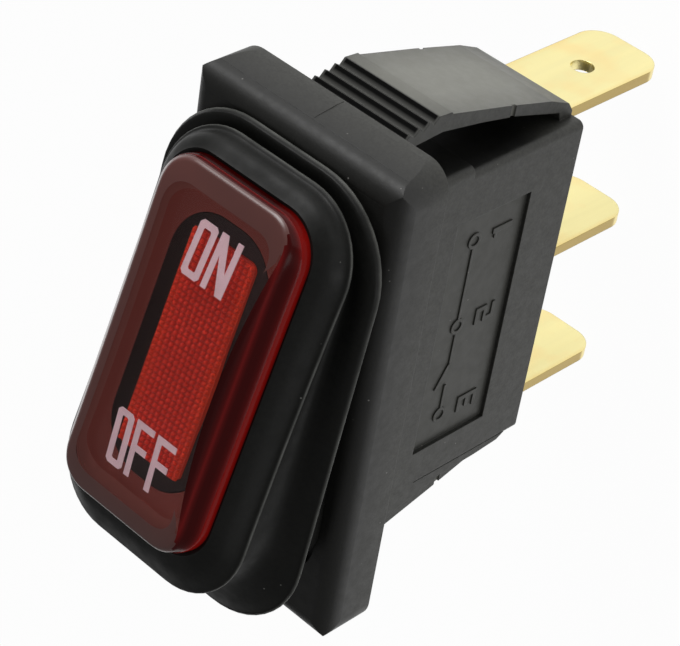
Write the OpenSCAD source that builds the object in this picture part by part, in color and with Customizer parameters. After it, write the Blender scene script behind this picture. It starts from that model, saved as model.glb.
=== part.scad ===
// Sealed panel rocker switch: narrow two-position ON/OFF rocker with an illuminated
// lens, a two-ring bellows boot, moulded snap-in wings and three push-on tabs.
// Frame: origin on the bezel underside at the centre of the body, +Z towards the user,
// +Y towards the ON end, +X towards the labelled side of the body.
// The lens is drawn with its ON end pressed.

/* [Bezel] */
// Length of the bezel along Y
bezel_len = 37.1; // [36.4:0.1:37.8]
// Width of the bezel along X
bezel_wid = 18.2; // [17.8:0.1:18.8]
// Shift of the bezel towards the OFF end
bezel_shift = 0.3; // [0:0.05:0.4]
// Height of the bezel above the panel
bezel_h = 4.2; // [3.8:0.1:4.6]
// How far each bezel end leans out towards the panel
bezel_lean = 0.45; // [0:0.05:0.8]
// Corner radius of the bezel seen from the front
bezel_r = 1.9; // [1:0.1:2.5]
// Rounding of the bezel's front edges
bezel_edge = 1.4; // [0.6:0.1:1.6]

/* [Body] */
// Length of the body behind the panel
body_len = 26.1; // [25.6:0.1:26.8]
// Width of the body behind the panel
body_wid = 10.5; // [10.3:0.1:11]
// Depth of the body behind the panel
body_depth = 18.3; // [17.8:0.1:19]
// Thickness of the long walls
wall = 0.95; // [0.9:0.05:1.1]
// Thickness of the end walls
end_wall = 1.3; // [1.2:0.05:1.5]
// Thickness of the floor that carries the tabs
floor_t = 1.3; // [1.2:0.1:1.6]
// Depth of the longer shoulder just behind the panel
shoulder_h = 7.5; // [6:0.1:8.5]
// Extra length of the shoulder at each end
shoulder_out = 0.4; // [0.2:0.05:0.5]
// Depth of the shallow label panel
label_depth = 0.3; // [0.2:0.05:0.4]

/* [Snap wings] */
// Half width of each wing
wing_half = 4.15; // [3.8:0.05:4.4]
// Reach of the wing's free end beyond the body end
wing_reach = 4.8; // [4.6:0.1:5]
// How much less the OFF wing reaches out
wing_less = 0.4; // [0.2:0.05:0.5]
// Reach of the guard cheeks beside the OFF wing
cheek_reach = 2.5; // [2.2:0.1:2.7]
// Thickness of the wing blade
wing_t = 0.95; // [0.8:0.05:1.1]
// Pitch of the locking teeth
tooth_pitch = 0.87; // [0.8:0.01:0.95]

/* [Tabs] */
// Width of the push-on tabs
tab_wid = 6.3; // [6.2:0.05:6.4]
// Thickness of the push-on tabs
tab_t = 0.8; // [0.75:0.01:0.85]
// Length of the tabs behind the body
tab_len = 11.4; // [10.5:0.1:11.8]
// Distance of the outer tabs from the middle tab
tab_space = 12.2; // [12.1:0.05:12.25]
// Diameter of the locking hole in each tab
tab_hole = 1.7; // [1.5:0.05:1.9]
// Distance of the locking hole from the tab's tip
tab_hole_up = 5.3; // [4:0.1:5.6]
// Corner radius of the tab tips
tab_r = 1.9; // [1:0.1:2.4]

/* [Rocker] */
// Height of the rocker axis above the panel
pivot_z = 1.5; // [1.4:0.05:1.7]
// Tilt of the rocker in either resting position
tilt = 17.2; // [16:0.1:17.6]
// Height of the lens base above the rocker axis
lens_base = 10.1; // [9.9:0.05:10.3]
// Half width of the lens at its base
lens_hw = 6.2; // [6.1:0.05:6.3]
// Half length of the lens
lens_hl = 12.0; // [11.8:0.05:12.2]
// Shift of the lens towards the ON end
lens_shift = 0.6; // [0.3:0.05:0.7]
// Height of the lens at mid length
lens_h = 2.5; // [2.4:0.05:2.8]
// Height of the lens at its ends
lens_end_h = 1.45; // [1.3:0.05:1.6]
// Height of the upright lip at the lens base
lens_lip = 0.8; // [0.6:0.05:0.9]
// Wall thickness of the lens
lens_wall = 1; // [0.9:0.05:1.1]
// Half width of the dark mask under the lens
mask_hx = 4.15; // [4:0.05:4.3]
// Half length of the dark mask under the lens
mask_hy = 9.1; // [8.9:0.05:9.3]
// Depth of the pocket that seats the mask and the window
window_sink = 0.4; // [0.3:0.05:0.5]
// Radius of the trunnions
trunnion_r = 1; // [0.9:0.05:1]

/* [Boot] */
// Tilt of the lower bellows ring
ring1_tilt = 8.2; // [7.5:0.1:8.4]
// Height of the lower ring's centre above the bezel
ring1_rise = 2.65; // [2.6:0.05:2.9]
// Half width of the lower ring
ring1_hw = 9.5; // [9.3:0.05:9.6]
// Half length of the lower ring
ring1_hl = 16.4; // [16.1:0.05:16.6]
// Shift of the lower ring towards the ON end
ring1_shift = 0.55; // [0.3:0.05:0.6]
// Half width of the upper ring
ring2_hw = 8.3; // [8.1:0.05:8.4]
// Half length of the upper ring
ring2_hl = 14.4; // [14.2:0.05:14.5]
// Shift of the upper ring towards the OFF end
ring2_shift = 0.2; // [0:0.05:0.3]
// Height of the upper ring's crest above the rocker axis
ring2_w = 8.4; // [8.2:0.05:8.6]
// Thickness of the rubber
boot_t = 0.9; // [0.8:0.05:1]

/* [Contacts] */
// Distance from the rocker axis to the extended plunger's tip
plunger_reach = 7; // [6.8:0.05:7.1]
// Radius of the plunger
plunger_r = 1.2; // [1.1:0.05:1.2]
// Tilt of the see-saw blade in either resting position
blade_tilt = 8; // [7:0.1:8.5]
// Thickness of the see-saw blade
blade_t = 0.6; // [0.5:0.05:0.7]
// Half width of the see-saw blade
blade_hw = 2; // [1.8:0.05:2.1]
// Distance from the fulcrum to the moving contact
contact_y = 8.6; // [8.4:0.05:8.8]

/* [Hidden] */

eps = 0.01;
fit = 0.05;                 // clearance of pressed-in pieces
run = 0.06;                 // clearance of sliding and turning pieces
$fn = 64;

by = body_len / 2;
bx = body_wid / 2;
cav_x = bx - wall;
cav_y = by - end_wall;
floor_z = -body_depth + floor_t;

// rocker carrier, measured in its own upright frame
neck_hx = cav_x - 0.4;
neck_hy = 8.6;
neck_low = -1;
plate_t = 1.2;
plate_low = lens_base - plate_t;
plate_hx = lens_hw - 0.25;
plate_hy = lens_hl - 0.25;
lens_r = 2.9;
crown_r = (pow(lens_hl, 2) + pow(lens_h - lens_end_h, 2)) / (2 * (lens_h - lens_end_h));
crown_c = lens_base + lens_h - crown_r;
side_slope = 0.9;
mask_r = mask_hx - 0.7;
mask_t = 0.5;
mask_rim = 1.3;             // dark band around the window
window_hx = mask_hx - mask_rim;
window_hy = mask_hy - mask_rim;
window_r = 0.6;
window_t = 0.65;
boss_h = 0.5;               // the window's boss under its face
trunnion_out = neck_hx + 2.1;
open_hy = 10.3;

lamp_r = 1.9;
lamp_w = lens_base - 3.3;
lamp_hl = 5.4;
lamp_wall = 0.35;
lead_r = 0.25;
lead_x = 0.7;               // the lamp's two wires stand this far off its axis
lead_in = 1.5;
lead_out = lamp_hl + 0.9;
lamp_room_hy = neck_hy - 0.7;
lamp_room_hx = window_hx - 0.3;
lamp_room_low = lamp_w - lamp_r - 0.7;
resistor_r = 0.55;
resistor_x = lamp_room_hx - resistor_r - fit;
resistor_w = lamp_room_low + 0.9;
resistor_y = 1;
resistor_len = 4.1;
pad_v = lamp_room_hy - 0.6; // the spring's pad under the carrier
pad_t = 0.3;
pad_r = 1.1;

// plunger and its tube
tube_h = 2.1;
tube_low = -5;
plunger_top = -3.4;
bore_top = 2.6;
spring_wire = 0.15;

// see-saw blade on the middle tab
gap_tip = 0.2;
fulcrum_z = pivot_z - plunger_reach - gap_tip - blade_t;
dish_r = 6;
dish_hy = 3;
arm_z = dish_r + blade_t - sqrt(pow(dish_r + blade_t, 2) - pow(dish_hy, 2));
tail_y = 4.8;
button_r = 1.3;
button_h = 0.8;
dome_r = 4;
gap_contact = 0.03;
dome_drop = dome_r - sqrt(pow(dome_r, 2) - pow(button_r, 2));

// place of the moving contact's lowest point with the blade tilted
mc_y = -contact_y;
mc_z = arm_z - button_h - dome_drop + dome_r;
mc_yw = mc_y * cos(blade_tilt) - mc_z * sin(blade_tilt);
mc_zw = fulcrum_z + mc_y * sin(blade_tilt) + mc_z * cos(blade_tilt);
fc_top = mc_zw - dome_r - gap_contact;
fc_y = mc_yw;
line_shelf = fc_top - button_h - dome_drop;

// outer tabs step inwards above the floor
leg_y = cav_y - fit - tab_t / 2;
step_z = floor_z + fit;
lamp_shelf = -6.6;
lamp_foot_y = tail_y + 0.3;
ring1_z = bezel_h + ring1_rise;

module slab(hx, hy, r, h) {
    linear_extrude(h) rounded(hx, hy, r);
}

module rounded(hx, hy, r) {
    square([2 * (hx - r), 2 * hy], center = true);
    square([2 * hx, 2 * (hy - r)], center = true);
    for (sx = [-1, 1], sy = [-1, 1])
        translate([sx * (hx - r), sy * (hy - r)]) circle(r);
}

module box(x, y, z0, z1) {
    translate([-x, -y, z0]) cube([2 * x, 2 * y, z1 - z0]);
}

// profile drawn in Y (first) and Z (second), extruded across X
module across(half) {
    rotate([90, 0, 90]) translate([0, 0, -half]) linear_extrude(2 * half) children();
}

// profile drawn in X (first) and Z (second), extruded along Y
module along(half) {
    rotate([90, 0, 0]) translate([0, 0, -half]) linear_extrude(2 * half) children();
}

module rocker_place() {
    translate([0, 0, pivot_z]) rotate([-tilt, 0, 0]) children();
}

module blade_place() {
    translate([0, 0, fulcrum_z]) rotate([blade_tilt, 0, 0]) children();
}

// ---------------------------------------------------------------- housing

module bezel_end_profile() {
    half = bezel_len / 2;
    hull_y = half - bezel_lean;
    intersection() {
        polygon([[-half, 0], [half, 0], [half, 0.6], [hull_y, bezel_h],
                 [-hull_y, bezel_h], [-half, 0.6]]);
        union() {
            translate([-half, -eps]) square([2 * half, bezel_h - bezel_edge + eps]);
            translate([-hull_y + bezel_edge, 0]) square([2 * (hull_y - bezel_edge), bezel_h]);
            for (s = [-1, 1])
                translate([s * (hull_y - bezel_edge + 0.15), bezel_h - bezel_edge]) circle(bezel_edge);
        }
    }
}

module bezel_side_profile() {
    half = bezel_wid / 2;
    r = bezel_edge;
    translate([-half, 0]) square([2 * half, bezel_h - r]);
    translate([-half + r, 0]) square([2 * (half - r), bezel_h]);
    for (s = [-1, 1]) translate([s * (half - r), bezel_h - r]) circle(r);
}

module bezel() {
    translate([0, -bezel_shift, 0])
    intersection() {
        slab(bezel_wid / 2, bezel_len / 2, bezel_r, bezel_h);
        across(bezel_wid / 2) bezel_end_profile();
        along(bezel_len / 2) bezel_side_profile();
    }
}

// locking wing at the +Y end, drawn as Y and Z; less draws the whole blade further in
module wing_profile(less) {
    root = by;
    foot = -body_depth;
    top0 = -0.75;
    out = root - less;
    reach = out + wing_reach;
    tip_z = top0 - 4 * tooth_pitch;
    polygon([
        [root - 0.3, foot + 0.1],
        [root + 0.4, foot + 0.1],
        [root + 1.1 - less * 0.3, foot + 0.6],
        [out + 1.9, foot + 2.5],
        [out + 3.2, -11],
        [reach - 0.25, tip_z - 1.3],
        [reach - 0.1, tip_z - 1.2],
        [reach, tip_z],
        [reach - 0.44, tip_z + 0.42],
        [reach - 0.16, tip_z + tooth_pitch],
        [reach - 0.6, tip_z + tooth_pitch + 0.42],
        [reach - 0.32, tip_z + 2 * tooth_pitch],
        [reach - 0.76, tip_z + 2 * tooth_pitch + 0.42],
        [reach - 0.48, tip_z + 3 * tooth_pitch],
        [reach - 0.92, tip_z + 3 * tooth_pitch + 0.42],
        [reach - 0.64, top0],
        [reach - 0.64 - wing_t, top0],
        [reach - 0.5 - wing_t, top0 - 1.6],
        [reach - 0.35 - wing_t, -4.8],
        [out + 2.85, -8.5],
        [out + 2.1, -12],
        [root + 1.35 - less * 0.7, foot + 3.8],
        [root + 0.65 - less * 0.3, foot + 1.5],
        [root - 0.3, foot + 1.2]]);
}

module wing(less) {
    difference() {
        across(wing_half) wing_profile(less);
        for (s = [-1, 1])
            translate([s * wing_half, 0, -11.7])
                cube([0.3, 80, 0.45], center = true);
    }
}

// guard cheek beside the OFF wing, drawn at the +Y end and flush with the body's side
module cheek() {
    foot = -body_depth;
    translate([wing_half + run, 0, 0]) rotate([90, 0, 90]) linear_extrude(bx - wing_half - run)
        polygon([[by - 0.3, foot + 1.3], [by + 0.1, foot + 2], [by + 0.3, foot + 4.4], [by + 0.38, -10.4],
                 [by + 0.75, -9.2], [by + 0.54 * cheek_reach, -6.3], [by + 0.76 * cheek_reach, -5.1],
                 [by + cheek_reach, -3.9], [by + cheek_reach, -3.4], [by + shoulder_out, -2.6],
                 [by - 0.3, -2.6]]);
}

module trunnion_holes() {
    for (s = [0, 1])
        mirror([s, 0, 0])
            translate([cav_x - 0.3, 0, pivot_z]) rotate([0, 90, 0])
                cylinder(r = trunnion_r + run, h = trunnion_out + 0.15 - cav_x + 0.3);
}

module tab_slots() {
    for (y = [-tab_space, 0, tab_space])
        translate([0, y, -body_depth]) box(tab_wid / 2 + fit, tab_t / 2 + fit, -1, floor_t + 0.3);
    for (s = [-1, 1])
        translate([0, s * tab_space, 0])
            box(tab_wid / 2 + fit, tab_t / 2 + fit, floor_z - 0.2, step_z + tab_t + fit);
}

module housing() {
    color([0.22, 0.22, 0.2])
    difference() {
        union() {
            bezel();
            translate([0, 0, -body_depth]) slab(bx, by, 0.5, body_depth + 0.5);
            translate([0, 0, -shoulder_h]) slab(bx, by + shoulder_out, 0.5, shoulder_h + 0.5);
            wing(0);
            mirror([0, 1, 0]) {
                wing(wing_less);
                cheek();
                mirror([1, 0, 0]) cheek();
            }
        }
        box(cav_x, cav_y, floor_z, 0);
        box(cav_x, open_hy, -1, bezel_h + 1);
        translate([0, 0, bezel_h - boot_t - 0.1]) slab(6.9, 14.3, 3, 5);
        trunnion_holes();
        tab_slots();
        // shallow label panel on the +X side
        translate([bx - label_depth, -9.9, -14]) cube([1, 19.1, 7.2]);
    }
}

// ---------------------------------------------------------------- boot

// one level of the boot: a thin rounded slab in its own tilted plane
module level(ang, y, z, hx, hy, r) {
    translate([0, y, z]) rotate([-ang, 0, 0]) slab(hx, hy, r, eps, $fn = 32);
}

module rlevel(w, hx, hy, r) {
    rocker_place() translate([0, -ring2_shift, w]) slab(hx, hy, r, eps, $fn = 32);
}

module foot_level(z, d) { level(0, 0.3, z, ring1_hw - 1.35 - d, ring1_hl - 1.1 - d, 4.8 - d); }
module ring1_low(d) { level(ring1_tilt * 0.88, ring1_shift - 0.1, ring1_z - 0.5, ring1_hw - 0.25 - d, ring1_hl - 0.25 - d, 6.2 - d); }
module ring1_top(d) { level(ring1_tilt, ring1_shift, ring1_z, ring1_hw - d, ring1_hl - d, 6.3 - d); }
module ring1_back(d) { level(ring1_tilt, ring1_shift + 0.1, ring1_z + 0.35, ring1_hw - 0.35 - d, ring1_hl - 0.35 - d, 6 - d); }
module valley(d) { level(12.5, 1.35, ring1_z + 0.9, ring1_hw - 1.9 - d, ring1_hl - 2.6 - d, 4.8 - d); }
module ring2_low(d) { rlevel(ring2_w - 0.45, ring2_hw - 0.3 - d, ring2_hl - 0.3 - d, 5 - d); }
module ring2_top(d) { rlevel(ring2_w, ring2_hw - d, ring2_hl - d, 5 - d); }
module ring2_back(d) { rlevel(ring2_w + 0.3, ring2_hw - 0.25 - d, ring2_hl - 0.25 - d, 4.8 - d); }
module neck_level(w, hx, hy) {
    rocker_place() translate([0, lens_shift, w]) slab(hx, hy, lens_r + 0.2, eps, $fn = 32);
}

module boot_shell(d) {
    hull() { foot_level(bezel_h + 0.02, d); ring1_low(d); }
    hull() { ring1_low(d); ring1_top(d); }
    hull() { ring1_top(d); ring1_back(d); }
    hull() { ring1_back(d); valley(d); }
    hull() { valley(d); ring2_low(d); }
    hull() { ring2_low(d); ring2_top(d); }
    hull() { ring2_top(d); ring2_back(d); }
}

module seal_boot() {
    color([0.12, 0.12, 0.11])
    difference() {
        union() {
            boot_shell(0);
            hull() { ring2_back(0); neck_level(lens_base + 0.1, lens_hw + 0.35, lens_hl + 0.35); }
            translate([0, 0, bezel_h - boot_t]) slab(6.8, 14.2, 2.9, boot_t + 0.4);
        }
        boot_shell(boot_t);
        hull() { ring2_back(boot_t); neck_level(plate_low - 0.05, plate_hx + 0.03, plate_hy + 0.03); }
        rocker_place() translate([0, lens_shift, plate_low - 0.1])
            slab(plate_hx + 0.03, plate_hy + 0.03, lens_r, plate_t + 0.1);
        rocker_place() translate([0, lens_shift, lens_base - 0.03])
            slab(lens_hw + 0.03, lens_hl + 0.03, lens_r, 2);
        translate([0, 0, bezel_h - boot_t - 1]) slab(5.6, 12.6, 2, 3);
    }
}

module boot_clamp() {
    color([0.16, 0.16, 0.16])
    translate([0, 0, bezel_h + fit])
    difference() {
        union() {
            slab(6.3, 13.6, 2.5, 0.9);
            translate([0, 0, -boot_t - fit]) slab(5.5, 12.5, 1.9, boot_t + fit + 0.1);
        }
        translate([0, 0, -2]) slab(cav_x, 11.2, 1.2, 4);
    }
}

// ---------------------------------------------------------------- rocker

module rocker_carrier() {
    color([0.09, 0.09, 0.09])
    rocker_place()
    difference() {
        union() {
            translate([0, lens_shift, plate_low]) slab(plate_hx, plate_hy, lens_r, plate_t);
            box(neck_hx, neck_hy, neck_low, plate_low + eps);
            translate([-trunnion_out, 0, 0]) rotate([0, 90, 0])
                cylinder(r = trunnion_r, h = 2 * trunnion_out);
            box(tube_h, tube_h, tube_low, neck_low + eps);
        }
        // lamp room, open to the window above
        box(lamp_room_hx, lamp_room_hy, lamp_room_low, lens_base + 1);
        // pocket for the mask, and below it the one for the window's boss
        translate([0, lens_shift, lens_base - window_sink]) {
            slab(mask_hx + fit, mask_hy + fit, mask_r + fit, 2);
            box(lamp_room_hx, window_hy, -boss_h - fit, 1);
        }
        // plunger bore
        translate([0, 0, tube_low - 1]) cylinder(r = plunger_r + run, h = bore_top - tube_low + 1);
        // way for the spring lead down to the plunger spring
        translate([0, 0, bore_top - 0.1]) cylinder(r = 0.5, h = lamp_room_low - bore_top + 0.3);
        // way for the lead down to the lamp spring
        translate([0, pad_v, neck_low - 1]) cylinder(r = 0.5, h = lamp_room_low - neck_low + 1.3);
    }
}

// crowned lens solid, shrunk inwards by d and dropped by d at the top
module lens_solid(d, low) {
    hw = lens_hw - d;
    lip_w = lens_base + lens_lip;
    high = lens_base + lens_h + 1;
    intersection() {
        translate([0, 0, low]) slab(hw, lens_hl - d, lens_r - d, high - low);
        along(lens_hl + 1)
            polygon([[-hw, low - 1], [hw, low - 1], [hw, lip_w - d * 0.3],
                     [hw - side_slope * (high - lip_w), high],
                     [-hw + side_slope * (high - lip_w), high],
                     [-hw, lip_w - d * 0.3]]);
        translate([-10, 0, crown_c]) rotate([0, 90, 0])
            cylinder(r = crown_r - d, h = 20, $fn = 360);
    }
}

module rocker_lens() {
    color([0.45, 0.06, 0.05])
    rocker_place() translate([0, lens_shift, 0])
    difference() {
        lens_solid(0, lens_base);
        lens_solid(lens_wall, lens_base - 1);
    }
}

module window_mask() {
    color([0.05, 0.05, 0.05])
    rocker_place() translate([0, lens_shift, lens_base - window_sink])
    difference() {
        slab(mask_hx, mask_hy, mask_r, mask_t);
        translate([0, 0, -1]) slab(window_hx, window_hy, window_r, mask_t + 2);
    }
}

module window_diffuser() {
    color([0.85, 0.15, 0.1])
    rocker_place() translate([0, lens_shift, lens_base - window_sink])
    difference() {
        union() {
            slab(window_hx - run, window_hy - run, window_r, window_t);
            translate([0, 0, -boss_h]) slab(lamp_room_hx - fit, window_hy - run, 0.5, boss_h + 0.1);
        }
        translate([0, 0, -2]) slab(lamp_room_hx - 0.8, window_hy - 1.1, 0.5, 2.1);
    }
}

module lamp_glass() {
    color([0.9, 0.75, 0.6])
    rocker_place() translate([0, 0, lamp_w]) rotate([90, 0, 0])
    difference() {
        union() {
            translate([0, 0, -lamp_hl + lamp_r]) cylinder(r = lamp_r, h = 2 * lamp_hl - lamp_r);
            translate([0, 0, -lamp_hl + lamp_r]) sphere(lamp_r);
        }
        translate([0, 0, -lamp_hl + lamp_r]) cylinder(r = lamp_r - lamp_wall, h = 2 * lamp_hl - lamp_r - 1.2);
        translate([0, 0, -lamp_hl + lamp_r]) sphere(lamp_r - lamp_wall);
        for (s = [-1, 1])
            translate([s * lead_x, 0, 0]) cylinder(r = lead_r + 0.02, h = lamp_hl + 1);
    }
}

// wire of round section from a to b, both points in the rocker's frame
module wire(a, b, r) {
    v = b - a;
    len = norm(v);
    translate(a) rotate([0, acos(v[2] / len), atan2(v[1], v[0])]) cylinder(r = r, h = len, $fn = 24);
    translate(b) sphere(1.06 * r, $fn = 24);
}

module lamp_lead(x) {
    wire([x, lead_in, lamp_w], [x, -lead_out, lamp_w], lead_r);
    translate([x, lead_in, lamp_w]) sphere(1.06 * lead_r, $fn = 24);
}

module lamp_lead_a() {
    color([0.75, 0.72, 0.65])
    rocker_place() {
        lamp_lead(-lead_x);
        wire([-lead_x, -lead_out, lamp_w], [-lead_x, -lead_out, lamp_room_low + 0.5], lead_r);
        wire([-lead_x, -lead_out, lamp_room_low + 0.5], [0, 0, lamp_room_low + 0.32], lead_r);
        wire([0, 0, lamp_room_low + 0.32], [0, 0, bore_top - 0.1], lead_r);
        translate([0, 0, bore_top - pad_t]) cylinder(r = 0.9, h = pad_t);
    }
}

module lamp_lead_b() {
    end_y = resistor_y - resistor_len - 1.1 * lead_r;
    color([0.75, 0.72, 0.65])
    rocker_place() {
        lamp_lead(lead_x);
        wire([lead_x, -lead_out, lamp_w], [resistor_x, -lead_out, resistor_w], lead_r);
        wire([resistor_x, -lead_out, resistor_w], [resistor_x, end_y, resistor_w], lead_r);
    }
}

module lamp_resistor() {
    color([0.72, 0.6, 0.42])
    rocker_place() {
        translate([resistor_x, resistor_y, resistor_w]) rotate([90, 0, 0])
            cylinder(r = resistor_r, h = resistor_len);
        wire([resistor_x, resistor_y - 0.2, resistor_w], [resistor_x, pad_v, resistor_w], lead_r);
        wire([resistor_x, pad_v, resistor_w], [0, pad_v, lamp_room_low + 0.35], lead_r);
        wire([0, pad_v, lamp_room_low + 0.35], [0, pad_v, neck_low - 0.1], lead_r);
        translate([0, pad_v, neck_low - pad_t]) cylinder(r = pad_r, h = pad_t);
    }
}

// ---------------------------------------------------------------- springs and plunger

// close row of turned rings joined by a thin back strip, standing for a coil spring
module coil(r, wire_r, h, turns) {
    pitch = (h - 2 * wire_r) / turns;
    for (k = [0 : turns])
        translate([0, 0, wire_r + k * pitch])
            rotate_extrude($fn = 40) translate([r, 0]) circle(wire_r, $fn = 16);
    for (k = [0 : turns - 1])
        rotate([0, 0, k * 180])
            translate([r - wire_r * 0.6, -wire_r, wire_r + k * pitch])
                cube([wire_r * 1.2, 2 * wire_r, pitch]);
}

module lamp_spring() {
    pad_w = neck_low - pad_t;
    foot_z = lamp_shelf + 0.02;
    top_y = pad_v * cos(tilt) + pad_w * sin(tilt);
    top_z = pivot_z + pad_w * cos(tilt) - (pad_v + pad_r) * sin(tilt);
    color([0.7, 0.7, 0.68])
    translate([0, top_y, foot_z]) coil(0.8, spring_wire, top_z - foot_z - fit, 6);
}

module plunger() {
    color([0.75, 0.72, 0.62])
    rocker_place() {
        translate([0, 0, plunger_r - plunger_reach]) cylinder(r = plunger_r, h = plunger_top + plunger_reach - plunger_r);
        translate([0, 0, plunger_r - plunger_reach]) sphere(plunger_r);
        translate([0, 0, plunger_top - 0.1]) cylinder(r = 0.55, h = 1.1);
    }
}

module plunger_spring() {
    color([0.7, 0.7, 0.68])
    rocker_place()
    translate([0, 0, plunger_top + 0.02]) coil(0.85, spring_wire, bore_top - 0.32 - plunger_top - 0.02, 10);
}

// ---------------------------------------------------------------- contacts and tabs

module blade_profile() {
    intersection() {
        difference() {
            translate([0, dish_r + blade_t]) circle(dish_r + blade_t, $fn = 180);
            translate([0, dish_r + blade_t]) circle(dish_r, $fn = 180);
        }
        translate([-dish_hy - 0.05, -1]) square([2 * dish_hy + 0.1, 3]);
    }
    translate([-contact_y - button_r - 0.2, arm_z]) square([contact_y + button_r + 0.2 - dish_hy, blade_t]);
    translate([dish_hy, arm_z]) square([tail_y - dish_hy, blade_t]);
}

module contact_blade() {
    color([0.72, 0.45, 0.25])
    blade_place() across(blade_hw) blade_profile();
}

// round button whose face is a shallow dome, face downwards from z = 0
module button_down() {
    intersection() {
        translate([0, 0, -button_h - dome_drop]) cylinder(r = button_r, h = button_h + dome_drop);
        translate([0, 0, -button_h - dome_drop + dome_r]) sphere(dome_r, $fn = 128);
    }
}

module moving_contact() {
    color([0.82, 0.82, 0.8])
    blade_place() translate([0, -contact_y, arm_z]) button_down();
}

module fixed_contact() {
    color([0.82, 0.82, 0.8])
    translate([0, fc_y, line_shelf]) mirror([0, 0, 1]) button_down();
}

// flat push-on tab hanging down from z = 0, tip rounded
module tab_blade() {
    low = -body_depth - tab_len;
    hw = tab_wid / 2;
    difference() {
        rotate([90, 0, 0]) translate([0, 0, -tab_t / 2]) linear_extrude(tab_t) {
            translate([-hw, low + tab_r]) square([2 * hw, tab_len - tab_r + fit + floor_t]);
            translate([-hw + tab_r, low]) square([2 * (hw - tab_r), tab_len]);
            for (s = [-1, 1]) translate([s * (hw - tab_r), low + tab_r]) circle(tab_r);
        }
        translate([0, 1, low + tab_hole_up]) rotate([90, 0, 0]) cylinder(d = tab_hole, h = 2);
    }
}

// inner leg of an outer tab: step inwards, rise, and a shelf reaching to y_in
module leg_profile(z_shelf, y_in) {
    translate([leg_y - tab_t / 2, step_z]) square([tab_space - leg_y + tab_t, tab_t]);
    translate([leg_y - tab_t / 2, step_z]) square([tab_t, z_shelf - step_z]);
    translate([y_in, z_shelf - tab_t]) square([leg_y + tab_t / 2 - y_in, tab_t]);
    translate([tab_space - tab_t / 2, step_z - 0.2]) square([tab_t, 0.2 + tab_t]);
}

module terminal_lamp() {
    color([0.85, 0.75, 0.4]) {
        translate([0, tab_space, 0]) tab_blade();
        across(tab_wid / 2) leg_profile(lamp_shelf, lamp_foot_y);
    }
}

module terminal_line() {
    color([0.85, 0.75, 0.4]) {
        translate([0, -tab_space, 0]) tab_blade();
        mirror([0, 1, 0]) across(tab_wid / 2) leg_profile(line_shelf, -fc_y - button_r - 0.3);
    }
}

module terminal_common() {
    hw = tab_wid / 2;
    ear_top = fulcrum_z + arm_z + blade_t + 0.4;
    color([0.85, 0.75, 0.4]) {
        tab_blade();
        // upright with a sloped knife edge on top
        across(blade_hw + 0.25)
            polygon([[-tab_t / 2, floor_z - 0.2], [tab_t / 2, floor_z - 0.2],
                     [tab_t / 2, fulcrum_z - 0.35], [0, fulcrum_z - 0.02],
                     [-tab_t / 2, fulcrum_z - 0.35]]);
        // ears that keep the blade from shifting sideways
        for (s = [0, 1]) mirror([s, 0, 0])
            translate([blade_hw + 0.2, -tab_t / 2, floor_z - 0.2])
                cube([hw - blade_hw - 0.2, tab_t, ear_top - floor_z + 0.2]);
    }
}

housing();
seal_boot();
boot_clamp();
rocker_carrier();
rocker_lens();
window_mask();
window_diffuser();
lamp_glass();
lamp_lead_a();
lamp_lead_b();
lamp_resistor();
lamp_spring();
plunger();
plunger_spring();
contact_blade();
moving_contact();
fixed_contact();
terminal_lamp();
terminal_common();
terminal_line();
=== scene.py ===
"""Looks of the sealed panel rocker switch: finishes, boot, lens, lettering and stage."""
import math

import bmesh
import bpy
from bpy.props import FloatProperty, FloatVectorProperty, IntProperty, PointerProperty
from mathutils import Matrix, Vector


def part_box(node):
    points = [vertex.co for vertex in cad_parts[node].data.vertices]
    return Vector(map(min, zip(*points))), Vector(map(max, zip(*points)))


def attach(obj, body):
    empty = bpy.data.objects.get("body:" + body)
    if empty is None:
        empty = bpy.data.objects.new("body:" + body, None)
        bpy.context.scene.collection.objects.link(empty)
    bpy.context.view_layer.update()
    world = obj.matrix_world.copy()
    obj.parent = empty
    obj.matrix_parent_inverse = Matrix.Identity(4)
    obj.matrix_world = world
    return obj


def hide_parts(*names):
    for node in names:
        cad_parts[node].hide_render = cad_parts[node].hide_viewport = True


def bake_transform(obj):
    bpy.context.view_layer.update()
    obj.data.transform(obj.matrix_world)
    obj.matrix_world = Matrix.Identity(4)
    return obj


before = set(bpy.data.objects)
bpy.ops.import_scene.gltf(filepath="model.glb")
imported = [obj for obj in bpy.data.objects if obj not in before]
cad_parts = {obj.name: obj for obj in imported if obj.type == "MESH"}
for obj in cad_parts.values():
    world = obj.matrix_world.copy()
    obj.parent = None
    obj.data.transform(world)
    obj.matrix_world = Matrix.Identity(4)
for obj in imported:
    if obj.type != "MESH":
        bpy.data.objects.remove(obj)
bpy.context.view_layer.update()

bl_info = {
    "name": "Sealed rocker switch looks",
    "version": (1, 0, 0),
    "blender": (4, 5, 0),
    "location": "View3D > Sidebar > Rocker Switch",
    "description": "Dresses the sealed panel rocker switch with its rubber, lens, marks and studio",
    "category": "Object",
}

MM = 0.001

# The rocker's own upright frame, in the pressed-ON position
PIVOT_Z = 1.5
TILT = math.radians(17.2)
BEZEL_FRONT = 4.2
LABEL_FLOOR_X = 4.95

# The locking teeth of the wings
TOOTH_TIP_Z = -4.23
TOOTH_PITCH = 0.87

# The lens: radius of its corners, and the kinds of finish on its faces, by material slot
LENS_CORNER = 2.9
CLEAR, WALL, RIM, EDGE, INNER = range(5)
# Rings of lens faces that end the rim, the wall and the shoulder, counted from the foot
RIM_RINGS, WALL_RINGS, SHOULDER_RINGS = 2, 7, 11
# Half lengths of the clear stretch in each ring of the shoulder, along the label side
OPEN_HALF_LENGTHS = (11.2, 10.7, 10.1, 9.4)


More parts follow.
